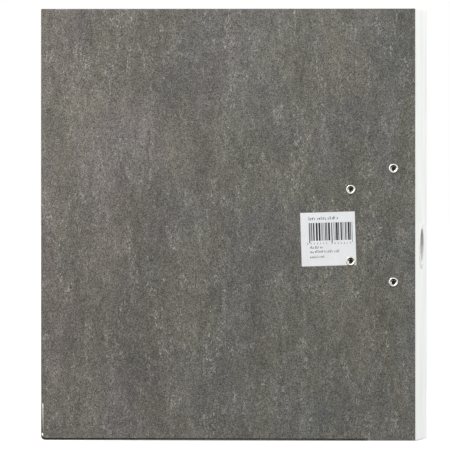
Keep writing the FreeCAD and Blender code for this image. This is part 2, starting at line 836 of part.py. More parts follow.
# Channel of folded sheet: a web on top, two cheeks and an arm that reaches down to the roller
lever_outer = pad("lever_outer", "YZ_Plane", "crank_line - lever_half", "2*lever_half", [
    lever_point("lever_top", "-lever_heel"),
    lever_point("lever_top", "lever_knee"),
    lever_point("handle_top", "lever_reach - handle_taper"),
    lever_point("handle_top", "lever_reach"),
    lever_point("handle_low", "lever_reach"),
    lever_point("handle_low", "lever_reach - handle_flat"),
    lever_point("-handle_drop", "lever_reach - handle_taper"),
    lever_point("-knee_depth", "lever_knee"),
    lever_point("-roller_arm", "arm_end"),
    lever_point("-roller_arm", "-arm_end"),
    lever_point("0", "-lever_heel"),
])
lever_arm_end = across_lever("lever_arm_end", "-roller_arm", "0", "lever_half", "arm_end")
lever_inside = "lever_half - sheet_thick"
lever_room = pad("lever_room", "YZ_Plane", f"crank_line - ({lever_inside})", f"2*({lever_inside})", [
    lever_point("lever_top - sheet_thick", "-2*lever_heel"),
    lever_point("lever_top - sheet_thick", "lever_knee"),
    lever_point("handle_low", "lever_reach - handle_taper"),
    lever_point("handle_low", "lever_reach"),
    lever_point("-2*roller_arm", "lever_reach"),
    lever_point("-2*roller_arm", "-2*lever_heel"),
])
lever_channel = cut("lever_channel", fuse("lever_plate", lever_outer, lever_arm_end), lever_room)
thumb_depth = "handle_low + thumb_radius"
thumb_roll = across_lever("lever_thumb", thumb_depth, "lever_reach", "lever_half", "thumb_radius")
lever_bores = fuse(
    "lever_bores",
    across_lever("lever_pivot_bore", "0", "0", "ear_outer", "pin_radius + run_fit"),
    across_lever("lever_axle_bore", "-roller_arm", "0", "ear_outer", "axle_radius"),
    across_lever("lever_thumb_bore", thumb_depth, "lever_reach", "ear_outer", "thumb_bore"),
)
lever_body = cut("Lever", fuse("lever_with_thumb", lever_channel, thumb_roll), lever_bores)
sub_part("lever", lever_body, MECH_FRAME)

roller_pin = headed_pin(
    "RollerPin", "roller_level", "axle_radius", "axle_head", "lever_half", "axle_head_height",
)
sub_part("roller_pin", roller_pin, MECH_FRAME)

roller_points = [
    ("axle_radius + run_fit", "-roller_half"),
    ("roller_radius - roller_edge", "-roller_half"),
    ("roller_radius", "-roller_half + roller_edge"),
    ("roller_radius", "roller_half - roller_edge"),
    ("roller_radius - roller_edge", "roller_half"),
    ("axle_radius + run_fit", "roller_half"),
]
sub_part(
    "roller", turned("roller_turned", roller_points, ("0", "0", "0"), X_AXIS, Z_AXIS),
    ("spine_face - rivet_setback + crank_line", "mech_floor + roller_level", "mech_level + pivot_line"),
)


# ---------------------------------------------------------------- compressor bar

def across_post_line(name, level, start, length, radius):
    """Cylinder along Y on the posts' line."""
    return rod(name, ("post_line", start, level), Y_AXIS, length, radius)


def bar_lip_box(name, inner, outer):
    """Lip folded up along one long side of the bar."""
    return box(
        name,
        (f"post_line + ({inner})", "bar_level", "-bar_half_length + lip_margin"),
        (f"post_line + ({outer})", "bar_top + bar_lip", "bar_half_length - lip_margin"),
    )


bar_sheet = pad("bar_sheet", "XZ_Plane", "bar_level", "bar_thick", [
    ("post_line - bar_half_width", "-bar_half_length"),
    ("post_line + bar_half_width", "-bar_half_length"),
    ("post_line + bar_half_width", "bar_half_length"),
    ("post_line - bar_half_width", "bar_half_length"),
])
round_edges(bar_sheet, "bar_corner", Y_AXIS, lambda middle: True)
bar_solid = fuse(
    "bar_solid", bar_sheet,
    bar_lip_box("bar_lip_far", "-bar_half_width", "-bar_half_width + bar_thick"),
    bar_lip_box("bar_lip_near", "bar_half_width - bar_thick", "bar_half_width"),
)
bar_holes = fuse(
    "bar_holes",
    across_post_line("bar_hole_upper", "hole_half", "0", "2*bar_top", "bar_hole"),
    across_post_line("bar_hole_lower", "-hole_half", "0", "2*bar_top", "bar_hole"),
    across_post_line("bar_rivet_hole_upper", "clip_rivet_line", "0", "2*bar_top", "clip_rivet"),
    across_post_line("bar_rivet_hole_lower", "-clip_rivet_line", "0", "2*bar_top", "clip_rivet"),
)
sub_part("compressor_bar", cut("CompressorBar", bar_solid, bar_holes), MECH_FRAME)


def clip(name, sign):
    """Spring clip that grips one post, with a fin to push."""
    def strip(part, inner, outer, top):
        ends = [f"{sign}*({inner})", f"{sign}*({outer})"][::sign]
        return box(
            f"{name}_{part}",
            ("post_line - clip_half_width", "bar_top", ends[0]),
            ("post_line + clip_half_width", top, ends[1]),
        )

    sheet_metal = fuse(
        f"{name}_joined",
        strip("flat", "hole_half - clip_inner", "hole_half + clip_outer", "clip_top"),
        strip("fin", "hole_half + clip_outer - clip_thick", "hole_half + clip_outer", "bar_top + clip_fin"),
    )
    holes = fuse(
        f"{name}_holes",
        across_post_line(
            f"{name}_post_hole", f"{sign}*hole_half", "0", "2*clip_top", "post_radius + run_fit",
        ),
        across_post_line(
            f"{name}_rivet_hole", f"{sign}*clip_rivet_line", "0", "2*clip_top", "clip_rivet",
        ),
    )
    sub_part(name, cut(f"{name}_cut", sheet_metal, holes), MECH_FRAME)


clip("compressor_clip_upper", 1)
clip("compressor_clip_lower", -1)


def clip_rivet(name, level):
    """Shank through the bar and clip, with a head on the clip."""
    shank = across_post_line(f"{name}_shank", level, "bar_level", "clip_top - bar_level", "clip_rivet")
    head = across_post_line(f"{name}_head", level, "clip_top", "clip_rivet_head", "2*clip_rivet")
    return [shank, head]


clip_rivets = fuse(
    "ClipRivets",
    *clip_rivet("clip_rivet_upper", "clip_rivet_line"),
    *clip_rivet("clip_rivet_lower", "-clip_rivet_line"),
)
sub_part("clip_rivets", clip_rivets, MECH_FRAME)


# ---------------------------------------------------------------- checks and files

doc.recompute()
for thing in doc.Objects:
    if "Invalid" in thing.State or "Error" in thing.State:
        raise RuntimeError(f"{thing.Label} did not build: {thing.State}")
for thing in sub_parts:
    if thing.Shape.isNull() or not thing.Shape.isValid():
        raise RuntimeError(f"{thing.Label} has no valid shape")

os.makedirs("parts", exist_ok=True)
for thing in sub_parts:
    thing.Shape.exportStep(f"parts/{thing.Label}.step")
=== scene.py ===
import math
import random

import bmesh
import bpy
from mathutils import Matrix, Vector
from mathutils.geometry import delaunay_2d_cdt


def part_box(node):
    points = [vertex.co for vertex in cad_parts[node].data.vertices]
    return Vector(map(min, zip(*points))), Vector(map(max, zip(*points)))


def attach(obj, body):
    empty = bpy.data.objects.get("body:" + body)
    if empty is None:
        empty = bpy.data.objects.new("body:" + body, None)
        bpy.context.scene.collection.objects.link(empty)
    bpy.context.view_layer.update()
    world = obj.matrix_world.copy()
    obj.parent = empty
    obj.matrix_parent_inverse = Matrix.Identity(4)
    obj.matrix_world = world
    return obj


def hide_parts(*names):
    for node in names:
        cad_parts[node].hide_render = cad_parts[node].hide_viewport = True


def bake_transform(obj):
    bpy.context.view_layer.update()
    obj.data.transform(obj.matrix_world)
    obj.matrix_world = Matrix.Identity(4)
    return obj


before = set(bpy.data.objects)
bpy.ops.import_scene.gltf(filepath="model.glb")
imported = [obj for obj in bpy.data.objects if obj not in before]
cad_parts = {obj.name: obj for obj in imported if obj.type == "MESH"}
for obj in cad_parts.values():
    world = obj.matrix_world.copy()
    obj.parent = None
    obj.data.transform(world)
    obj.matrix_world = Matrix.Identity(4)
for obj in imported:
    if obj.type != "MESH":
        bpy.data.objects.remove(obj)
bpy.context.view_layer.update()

MM = 0.001
scene = bpy.context.scene


def box_mm(node):
    """Lowest and highest corner of a CAD node, in millimetres."""
    low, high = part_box(node)
    return Vector(low) / MM, Vector(high) / MM


# ---------------------------------------------------------------- sizes from the frame, in mm

wrap_low, wrap_high = box_mm("back_wrap")
spine_high = box_mm("spine_wrap")[1]
liner_low, liner_high = box_mm("back_liner")
guard_high = box_mm("back_edge_guard")[1]
label_low, label_high = box_mm("back_label")
ring_low, ring_high = box_mm("finger_ring")
rivet_low, rivet_high = box_mm("mechanism_rivets")

BOTTOM = wrap_low.z
TOP = wrap_high.z
FORE = wrap_low.x
FOLD_END = wrap_high.x
OUTER = -wrap_low.y
THICK = wrap_high.y - wrap_low.y
SPINE_FACE = spine_high.x
SPINE_HALF = spine_high.y
LINING_BOTTOM = liner_low.z
LINING_TOP = liner_high.z
LINING_FORE = liner_low.x

# Covers: the depth at which their fold side starts to slant, and the radii of their corners
SLANT_START = 1.6
CORNER_ROUND = 3.0
SHARP_CORNER = 0.7
LEAST_ROUND = 0.05

# Papers: thickness, radius of the rolled edge, and the turned-in border
PAPER = 0.12
LINING_PAPER = 0.09
ROLL = 0.6
ROLL_MARGIN = 1.2
BORDER = 4.2
TURN_IN_STEP = 0.08

FOLD_RADIUS = 0.8
FOLD_AXIS_X = SPINE_FACE - FOLD_RADIUS
FOLD_AXIS_Y = OUTER - FOLD_RADIUS

RIVET_SHANK = 2.1
RIVET_FLANGE = 3.6
RIVET_OUTER_HALF = 42.1
RIVET_INNER_HALF = 26.5
RIVET_COLUMN_GAP = 31.8
RIVET_X = rivet_high.x - RIVET_FLANGE
RIVET_Z = (rivet_low.z + rivet_high.z) / 2
RIVETS = [
    (RIVET_X, RIVET_Z + RIVET_OUTER_HALF),
    (RIVET_X, RIVET_Z - RIVET_OUTER_HALF),
    (RIVET_X - RIVET_COLUMN_GAP, RIVET_Z + RIVET_INNER_HALF),
    (RIVET_X - RIVET_COLUMN_GAP, RIVET_Z - RIVET_INNER_HALF),
]

SLOT_RADIUS = 4.75
SLOT_REACH = 13.75
SLOT_RIM = 0.3
SLOTS = []
for slot_node in ("slot_eyelet_upper", "slot_eyelet_lower"):
    slot_low, slot_high = box_mm(slot_node)
    SLOTS.append(((slot_low.x + slot_high.x) / 2, (slot_low.z + slot_high.z) / 2))

RING_BORE = 12.5
RING_SLEEVE = 13.0
RING_Z = (ring_low.z + ring_high.z) / 2


# ---------------------------------------------------------------- materials

def linear(red, green, blue):
    """Linear colour of an 8-bit display colour."""
    def one(channel):
        share = channel / 255
        return share / 12.92 if share <= 0.04045 else ((share + 0.055) / 1.055) ** 2.4
    return (one(red), one(green), one(blue), 1.0)


class Look:
    """A Principled material whose colour, roughness and bump are built from noise."""

    def __init__(self, name, **sockets):
        self.material = bpy.data.materials.new(name)
        self.material.use_nodes = True
        self.tree = self.material.node_tree
        self.shader = self.tree.nodes["Principled BSDF"]
        self.place = self.tree.nodes.new("ShaderNodeTexCoord").outputs["Object"]
        for socket, number in sockets.items():
            self.shader.inputs[socket.replace("_", " ")].default_value = number

    def node(self, kind, **settings):
        """New node of a kind."""
        made = self.tree.nodes.new(kind)
        for name, setting in settings.items():
            setattr(made, name, setting)
        return made

    def feed(self, socket, source):
        """Links a source to a socket, or sets the socket to a number or colour."""
        if isinstance(source, bpy.types.NodeSocket):
            self.tree.links.new(source, socket)
        else:
            socket.default_value = source

    def noise(self, size, stretch=(1, 1, 1), detail=2.0, roughness=0.5, distortion=0.0, shift=0.0):
        """Noise with features of a size in mm, longer along an axis by its stretch."""
        mapping = self.node("ShaderNodeMapping")
        self.feed(mapping.inputs["Vector"], self.place)
        mapping.inputs["Location"].default_value = (shift, shift * 0.7, -shift)
        mapping.inputs["Scale"].default_value = [1 / (size * MM * s) for s in stretch]
        made = self.node("ShaderNodeTexNoise")
        self.feed(made.inputs["Vector"], mapping.outputs["Vector"])
        made.inputs["Scale"].default_value = 1.0
        made.inputs["Detail"].default_value = detail
        made.inputs["Roughness"].default_value = roughness
        made.inputs["Distortion"].default_value = distortion
        return made.outputs["Fac"]

    def spread(self, source, low, high, to_low, to_high):
        """Maps low..high to to_low..to_high, held at both ends."""
        made = self.node("ShaderNodeMapRange")
        for socket, number in zip(made.inputs[:5], (source, low, high, to_low, to_high)):
            self.feed(socket, number)
        return made.outputs["Result"]

    def math(self, operation, first, second):
        """Sum, product or the like of two sources or numbers."""
        made = self.node("ShaderNodeMath", operation=operation)
        self.feed(made.inputs[0], first)
        self.feed(made.inputs[1], second)
        return made.outputs["Value"]

    def mix(self, factor, first, second):
        """Colour between two others."""
        made = self.node("ShaderNodeMix", data_type="RGBA")
        self.feed(made.inputs["Factor"], factor)
        self.feed(made.inputs[6], first)
        self.feed(made.inputs[7], second)
        return made.outputs[2]

    def scaled(self, colour, factor):
        """Colour times a number."""
        made = self.node("ShaderNodeVectorMath", operation="SCALE")
        self.feed(made.inputs[0], colour)
        self.feed(made.inputs["Scale"], factor)
        return made.outputs["Vector"]

    def bump(self, height, distance, strength):
        """Fine relief, its depth in mm."""
        made = self.node("ShaderNodeBump")
        made.inputs["Strength"].default_value = strength
        made.inputs["Distance"].default_value = distance * MM
        self.feed(made.inputs["Height"], height)
        self.feed(self.shader.inputs["Normal"], made.outputs["Normal"])

    def colour(self, source):
        self.feed(self.shader.inputs["Base Color"], source)

    def rough(self, source):
        self.feed(self.shader.inputs["Roughness"], source)


def marbled_paper():
    """Grey recycled paper: soft clouds, fine grain and clusters of pale flecks.

    It turns from brownish at the fore edge to greenish at the spine.
    """
    look = Look("cloud_marbled_paper", Specular_IOR_Level=0.3)
    drift = look.noise(110, (1, 1, 1.5), 1, 0.5, shift=3.1)
    cloud = look.noise(26, (0.8, 1, 2.2), 3, 0.5, 0.5)
    streak = look.noise(4.6, (0.72, 1, 1.7), 3, 0.6, 0.5, shift=7.7)
    mottle = look.noise(2.6, (0.9, 1, 1.15), 2, 0.6, 0.6, shift=37.7)
    grain = look.noise(0.9, (0.95, 1, 1.05), 1, 0.8, 0.9, shift=11.3)
    grit = look.noise(0.5, (1, 1, 1.05), 1, 0.7, 0.4, shift=5.9)

    along = look.node("ShaderNodeSeparateXYZ")
    look.feed(along.inputs["Vector"], look.place)
    towards_spine = look.spread(along.outputs["X"], -0.14, 0.14, -0.25, 0.25)
    tint = look.noise(70, (1, 1, 1.8), 3, 0.6, 0.8, shift=17.3)
    green = look.spread(look.math("ADD", tint, towards_spine), 0.2, 0.8, 0, 1)
    yellow = look.noise(45, (1, 1, 1.6), 3, 0.65, 0.6, shift=41.7)
    yellow = look.spread(yellow, 0.36, 0.64, 0, 1)
    base = look.mix(green, linear(107.5, 101, 97.5), linear(96, 98.5, 96.5))
    base = look.mix(yellow, base, linear(103, 100.5, 91.5))

    tone = look.spread(cloud, 0.3, 0.7, 0.84, 1.16)
    for layer, low, high in (
        (drift, 0.9, 1.1), (streak, 0.81, 1.19), (mottle, 0.9, 1.1),
        (grain, 0.45, 1.55), (grit, 0.02, 1.98),
    ):
        tone = look.math("MULTIPLY", tone, look.spread(layer, 0.25, 0.75, low, high))
    shaded = look.scaled(base, tone)

    fleck = look.noise(1.9, (0.7, 1, 1.35), 2, 0.7, 1.6, shift=23.9)
    crowd = look.noise(13, (0.7, 1, 1.9), 3, 0.6, 0.8, shift=29.1)
    crowd = look.spread(crowd, 0.47, 0.63, 0.08, 1.0)
    pale = look.math("MULTIPLY", look.spread(fleck, 0.54, 0.67, 0, 0.85), crowd)
    look.colour(look.mix(pale, shaded, linear(182, 180, 173)))
    look.rough(look.spread(grain, 0.3, 0.7, 0.92, 0.7))
    look.bump(grain, 0.08, 0.5)
    return look.material


def plain_paper(name, dark, light, grain_size=0.9, speckle=None, contrast=1.0):
    """Plain paper: slow tone change, fine grain and, if given, darker specks."""
    look = Look(name, Specular_IOR_Level=0.3)
    slow = look.noise(24, (1, 1, 2.4), 2, 0.5, 0.4, shift=2.2)
    grain = look.noise(grain_size, (1, 1, 1.3), 3, 0.6, shift=8.1)
    both = look.math("MULTIPLY", look.math("ADD", slow, grain), 0.5)
    span = 0.16 / contrast
    paper = look.mix(look.spread(both, 0.5 - span, 0.5 + span, 0, 1), dark, light)
    if speckle:
        specks = look.noise(0.8, (0.7, 0.7, 1.6), 2, 0.6, 0.8, shift=13.7)
        paper = look.mix(look.spread(specks, 0.66, 0.74, 0, 0.5), paper, speckle)
    look.colour(paper)
    look.rough(look.spread(grain, 0.3, 0.7, 0.85, 0.62))
    look.bump(grain, 0.04, 0.4)
    return look.material


def metal(name, dark, light, rough_low, rough_high, grain=(1, 1, 1), grain_size=1.5, bump=0.01):
    """Plated or rolled metal: drawn grain, cloudy gloss and a few dull marks."""
    look = Look(name, Metallic=1.0)
    drawn = look.noise(grain_size, grain, 3, 0.6, shift=4.4)
    cloudy = look.noise(9, (1, 1, 1), 3, 0.55, 0.5, shift=9.3)
    marks = look.noise(1.6, (1, 1, 2.5), 3, 0.7, 1.5, shift=15.1)
    marks = look.spread(marks, 0.6, 0.74, 0, 0.35)
    both = look.math("MULTIPLY", look.math("ADD", drawn, cloudy), 0.5)
    shade = look.mix(look.spread(both, 0.36, 0.64, 0, 1), dark, light)
    look.colour(look.mix(marks, shade, dark))
    look.rough(look.math("ADD", look.spread(both, 0.35, 0.65, rough_low, rough_high),
                         look.math("MULTIPLY", marks, 0.3)))
    look.bump(drawn, bump, 0.5)
    return look.material


def lacquer():
    """White stoved lacquer with a faint orange peel and duller, greyer rubbed places."""
    look = Look("white_lacquer", Specular_IOR_Level=0.5)
    peel = look.noise(1.1, (1, 1, 1), 2, 0.5, shift=3.7)
    rubbed = look.noise(3.5, (1, 1, 1), 3, 0.6, 0.6, shift=12.9)
    rubbed = look.spread(rubbed, 0.42, 0.66, 0, 1)
    look.colour(look.mix(rubbed, linear(243, 243, 241), linear(229, 229, 226)))
    look.rough(look.spread(rubbed, 0, 1, 0.24, 0.42))
    look.bump(peel, 0.03, 0.5)
    return look.material


def grey_board():
    """Pressed grey board with fibres and darker flecks."""
    look = Look("pressed_grey_board", Specular_IOR_Level=0.25)
    fibre = look.noise(1.4, (1, 1, 0.25), 4, 0.65, 0.8, shift=6.6)
    flecks = look.noise(0.9, (1, 1, 1), 2, 0.6, 1.0, shift=18.8)
    pressed = look.spread(fibre, 0.3, 0.7, 0, 1)
    board = look.mix(pressed, linear(118, 113, 103), linear(150, 144, 131))
    look.colour(look.mix(look.spread(flecks, 0.64, 0.72, 0, 0.7), board, linear(72, 68, 62)))
    look.rough(look.spread(fibre, 0.3, 0.7, 0.97, 0.85))
    look.bump(fibre, 0.15, 0.7)
    return look.material


def moulded_plastic():
    """Dark moulded plastic with a fine sparked surface."""
    look = Look("moulded_plastic")
    spark = look.noise(0.35, (1, 1, 1), 2, 0.6, shift=1.7)
    slow = look.noise(4, (1, 1, 1), 2, 0.5, shift=5.2)
    shade = look.spread(slow, 0.35, 0.65, 0, 1)
    look.colour(look.mix(shade, linear(24, 24, 27), linear(36, 36, 39)))
    look.rough(look.spread(spark, 0.3, 0.7, 0.34, 0.52))
    look.bump(spark, 0.03, 0.5)
    return look.material


def printing_ink():
    """Dark thermal print, a little uneven."""
    look = Look("printing_ink", Specular_IOR_Level=0.3)
    uneven = look.noise(0.6, (1, 1, 1), 3, 0.6, shift=2.9)
    shade = look.spread(uneven, 0.3, 0.7, 0, 1)
    look.colour(look.mix(shade, linear(26, 26, 32), linear(52, 52, 60)))
    look.rough(look.spread(uneven, 0.3, 0.7, 0.5, 0.7))
    look.bump(uneven, 0.01, 0.4)
    return look.material


MARBLED = marbled_paper()
WHITE_PAPER = plain_paper("white_spine_paper", linear(231, 234, 231), linear(246, 247, 244))
LINING = plain_paper("lining_paper", linear(199, 198, 191), linear(214, 213, 206),
                     grain_size=0.8, speckle=linear(150, 148, 140), contrast=0.7)
LABEL_PAPER = plain_paper("label_paper", linear(226, 227, 229), linear(237, 238, 240),
                          grain_size=0.7)
NICKEL = metal("bright_nickel", linear(196, 193, 184), linear(222, 220, 212), 0.12, 0.24)
GUARD_STEEL = metal("guard_steel", linear(188, 187, 179), linear(218, 217, 208), 0.1, 0.18,
                    grain=(3, 1, 3), grain_size=0.8)
PLATE_STEEL = metal("plate_steel", linear(168, 167, 160), linear(200, 199, 192), 0.28, 0.42,
                    grain=(1, 1, 5), grain_size=0.7, bump=0.02)
SPRING_STEEL = metal("spring_steel", linear(128, 128, 127), linear(160, 160, 158), 0.25, 0.4,
                     grain=(5, 1, 1), grain_size=0.6)
# Painted shade: a dark, dull metal inside the rivet bores stands in for the shade deep in each bore
BORE_PAINTED_SHADE = metal("bore_painted_shade", linear(62, 60, 56), linear(94, 91, 85), 0.5, 0.7)
LACQUER = lacquer()
BOARD = grey_board()
PLASTIC = moulded_plastic()
INK = printing_ink()


# ---------------------------------------------------------------- mesh helpers

SAME_POINT = 1e-7


def points_to(mesh, points):
    """New vertices at points given in mm."""
    return [mesh.verts.new(Vector(point) * MM) for point in points]


def bridge(mesh, first, second, closed=True, material=0):
    """Quads between two rows of vertices."""
    count = len(first)
    for index in range(count if closed else count - 1):
        after = (index + 1) % count
        face = mesh.faces.new((first[index], first[after], second[after], second[index]))
        face.material_index = material


def fill(mesh, edge, holes, to_point):
    """Flat face inside a row of vertices, less its holes. Returns the holes' new vertices.

    edge is a list of (vertex, u, v), and holes are lists of (u, v).
    """
    rows = [[(vertex, Vector((u, v))) for vertex, u, v in edge]]
    for hole in holes:
        made = points_to(mesh, [to_point(u, v) for u, v in hole])
        rows.append([(vertex, Vector(pair)) for vertex, pair in zip(made, hole)])
    vertices = [vertex for row in rows for vertex, _ in row]
    flat = [pair for row in rows for _, pair in row]
    lines = []
    start = 0
    for row in rows:
        count = len(row)
        lines += [(start + i, start + (i + 1) % count) for i in range(count)]
        start += count
    corners, _, triangles, sources = delaunay_2d_cdt(flat, lines, [], 0, SAME_POINT)[:4]
    for triangle in triangles:
        middle = sum((corners[i] for i in triangle), Vector((0, 0))) / 3
        if inside(middle, flat[:len(edge)]) and not any(inside(middle, hole) for hole in holes):
            mesh.faces.new([vertices[sources[i][0]] for i in triangle])
    return [[vertex for vertex, _ in row] for row in rows[1:]]


def inside(point, outline):
    """Whether a point is within a polygon."""
    found = False
    for (x0, y0), (x1, y1) in zip(outline, list(outline[1:]) + [outline[0]]):
        if (y0 > point[1]) != (y1 > point[1]):
            if point[0] < (x1 - x0) * (point[1] - y0) / (y1 - y0) + x0:
                found = not found
    return found


def circle(centre_u, centre_v, radius, count):
    """Points on a full circle."""
    turn = 2 * math.pi / count
    return [(centre_u + radius * math.cos(i * turn), centre_v + radius * math.sin(i * turn))
            for i in range(count)]


def arc(centre_a, centre_b, radius, start, end, count):
    """Points on an arc, angles in degrees."""
    angles = [math.radians(start + (end - start) * i / count) for i in range(count + 1)]
    return [(centre_a + radius * math.cos(angle), centre_b + radius * math.sin(angle))
            for angle in angles]


def stadium(centre_u, centre_v, radius, reach, count=20):
    """Long hole with half-round ends."""
    return (arc(centre_u + reach, centre_v, radius, -90, 90, count)
            + arc(centre_u - reach, centre_v, radius, 90, 270, count))


def face_towards(mesh, direction):
    """Turns an open sheet so that its largest face looks in a direction."""
    bmesh.ops.recalc_face_normals(mesh, faces=mesh.faces)
    largest = max(mesh.faces, key=lambda face: face.calc_area())
    if largest.normal.dot(Vector(direction)) < 0:
        bmesh.ops.reverse_faces(mesh, faces=mesh.faces)


def make(name, mesh, materials, body, replaces, thickness=None, angle=32):
    """Object from a bmesh. A closed one is turned outward, and a sheet gets its thickness.

    Edges sharper than the angle stay sharp. Without a body the piece is left unattached.
    """
    if thickness is None:
        bmesh.ops.recalc_face_normals(mesh, faces=mesh.faces)
    data = bpy.data.meshes.new(name)
    mesh.to_mesh(data)
    mesh.free()
    piece = bpy.data.objects.new(name, data)
    scene.collection.objects.link(piece)
    for material in materials:
        data.materials.append(material)
    if thickness is not None:
        solid = piece.modifiers.new("sheet", "SOLIDIFY")
        solid.thickness = thickness * MM
        solid.offset = -1
        solid.use_even_offset = True
        graph = bpy.context.evaluated_depsgraph_get()
        data = bpy.data.meshes.new_from_object(piece.evaluated_get(graph))
        data.name = name
        piece.data = data
        piece.modifiers.clear()
    sharpen(data, angle)
    if replaces:
        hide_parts(*replaces)
    if body:
        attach(piece, body)
    return piece


def sharpen(data, angle):
    """Smooth shading, broken at edges sharper than an angle."""
    mesh = bmesh.new()
    mesh.from_mesh(data)
    limit = math.radians(angle)
    for face in mesh.faces:
        face.smooth = True
    for edge in mesh.edges:
        edge.smooth = len(edge.link_faces) == 2 and edge.calc_face_angle(math.pi) < limit
    mesh.to_mesh(data)
    mesh.free()


# ---------------------------------------------------------------- paper-covered panels

# (inset from the panel's edge, depth under its outer face) of the outer paper, from the
# flat face round the edge and on to the turned-in border
TURNED_IN = THICK - TURN_IN_STEP
EDGE_ROLL = (
    [(ROLL_MARGIN, 0.0)]
    + [(ROLL - a, ROLL - b) for a, b in arc(0, 0, ROLL, 90, 0, 5)]
    + [(ROLL - a, TURNED_IN - ROLL - b) for a, b in arc(0, 0, ROLL, 0, -90, 5)]
    + [(ROLL_MARGIN, TURNED_IN), (BORDER, TURNED_IN)]
)


def slant(depth):
    """How far a panel's fold side has drawn back at a depth."""
    return max(0.0, depth - SLANT_START)


def cover_runs(inset, depth):
    """Edge of a cover: along the top, down the fore edge and along the bottom."""
    right = FOLD_END - slant(depth)
    left = FORE + inset
    top = TOP - inset
    bottom = BOTTOM + inset
    upper = max(SHARP_CORNER - inset, LEAST_ROUND)
    lower = max(CORNER_ROUND - inset, LEAST_ROUND)
    return [
        [(right, top)]
        + arc(left + upper, top - upper, upper, 90, 180, 4)
        + arc(left + lower, bottom + lower, lower, 180, 270, 8)
        + [(right, bottom)]
    ]


def spine_runs(inset, depth):
    """Edges of the spine: its top and its bottom."""
    half = SPINE_HALF - slant(depth)
    steps = [half, half - 1, 0, 1 - half, -half]
    return [
        [(u, TOP - inset) for u in steps],
        [(-u, BOTTOM + inset) for u in steps],
    ]


def outer_paper(name, runs, to_point, holes, outward, material, body, replaces):
    """Outer paper of a panel: flat face with holes, rolled edges and turned-in border."""
    mesh = bmesh.new()
    rows = []
    for inset, depth in EDGE_ROLL:
        rows.append([
            points_to(mesh, [to_point(u, v, depth) for u, v in run]) for run in runs(inset, depth)
        ])
    for before, after in zip(rows, rows[1:]):
        for first, second in zip(before, after):
            bridge(mesh, first, second, closed=False)
    inset, depth = EDGE_ROLL[0]
    pairs = [pair for run in runs(inset, depth) for pair in run]
    edge = [(vertex, u, v) for vertex, (u, v) in zip([v for row in rows[0] for v in row], pairs)]
    fill(mesh, edge, holes, lambda u, v: to_point(u, v, 0))
    face_towards(mesh, outward)
    make(name, mesh, [material], body, replaces, PAPER)


# (reach past the flat sheet, depth) of a lining's flap, down the slanted side into the fold
FLAP_STEPS = [(0.8, SLANT_START - 0.02), (0.85, SLANT_START - 0.1), (0.85, 0.6)]


def lining(name, flat_edge, flaps, to_point, holes, inward, body, replaces):
    """Lining sheet: flat face inside flat_edge, with flaps down into the folds.

    A flap is the two corners that it hangs from and the direction in which it leaves.
    """
    mesh = bmesh.new()
    made = points_to(mesh, [to_point(u, v, THICK) for u, v in flat_edge])
    fill(mesh, [(vertex, u, v) for vertex, (u, v) in zip(made, flat_edge)], holes,
         lambda u, v: to_point(u, v, THICK))
    for first, last, sign in flaps:
        start = [made[first], made[last]]
        for reach, depth in FLAP_STEPS:
            row = points_to(mesh, [
                to_point(flat_edge[index][0] + sign * reach, flat_edge[index][1], depth)
                for index in (first, last)
            ])
            mesh.faces.new((start[0], start[1], row[1], row[0]))
            start = row
    face_towards(mesh, inward)
    make(name, mesh, [LINING], body, replaces, LINING_PAPER)


def back_point(u, v, depth):
    """Place on the back cover: u along the file's depth, v up, depth under its outer face."""
    return (u, -OUTER + depth, v)


def front_point(u, v, depth):
    """Place on the front cover."""
    return (u, OUTER - depth, v)


def spine_point(u, v, depth):
    """Place on the spine: u across it."""
    return (SPINE_FACE - depth, u, v)


rivet_circles = [circle(x, z, RIVET_SHANK, 32) for x, z in RIVETS]
slot_outlines = [stadium(x, z, SLOT_RADIUS + SLOT_RIM, SLOT_REACH) for x, z in SLOTS]
ring_circle = [circle(0, RING_Z, RING_SLEEVE, 72)]

outer_paper("back_cover_paper", cover_runs, back_point, rivet_circles, (0, -1, 0), MARBLED,
            "back", ["back_wrap"])
outer_paper("front_cover_paper", cover_runs, front_point, slot_outlines, (0, 1, 0), MARBLED,
            "front", ["front_wrap"])
outer_paper("spine_paper", spine_runs, spine_point, ring_circle, (1, 0, 0), WHITE_PAPER,
            "spine", ["spine_wrap"])


def sheet_corners(left, right):
    """Corners of a lining's flat part: low left, low right, high right, high left."""
    return [(left, LINING_BOTTOM), (right, LINING_BOTTOM), (right, LINING_TOP), (left, LINING_TOP)]


cover_sheet = sheet_corners(LINING_FORE, FOLD_END - slant(THICK))
spine_sheet = sheet_corners(slant(THICK) - SPINE_HALF, SPINE_HALF - slant(THICK))
lining("back_cover_lining", cover_sheet, [(1, 2, 1)], back_point, rivet_circles,
       (0, 1, 0), "back", ["back_liner"])
lining("front_cover_lining", cover_sheet, [(1, 2, 1)], front_point, slot_outlines,
       (0, -1, 0), "front", ["front_liner"])
lining("spine_lining", spine_sheet, [(1, 2, 1), (0, 3, -1)], spine_point, ring_circle,
       (-1, 0, 0), "spine", ["spine_liner"])


# ---------------------------------------------------------------- paper hinges

# The band's thickness, its straight ends, the steps of its bend, and where on the bend in
# degrees from the cover the marbled paper meets the white one
BAND = 0.45
TAIL = 1.0
BEND_STEPS = 12
COLOUR_CHANGE = 40

# (distance from the band's end, share of its full thickness there)
BAND_ENDS = [(0.0, 0.4), (0.06, 0.8), (0.18, 1.0)]


def band_line(radius):
    """Section of one face of the band, from the cover's end to the spine's.

    Its pairs are measured from the fold's axis: towards the spine's outer face, and towards
    the cover's outer face.
    """
    bend = [(a, b) for b, a in arc(0, 0, radius, 0, 90, BEND_STEPS)]
    return ([(-TAIL, radius), (-TAIL / 2, radius)] + bend
            + [(radius, -TAIL / 2), (radius, -TAIL)])


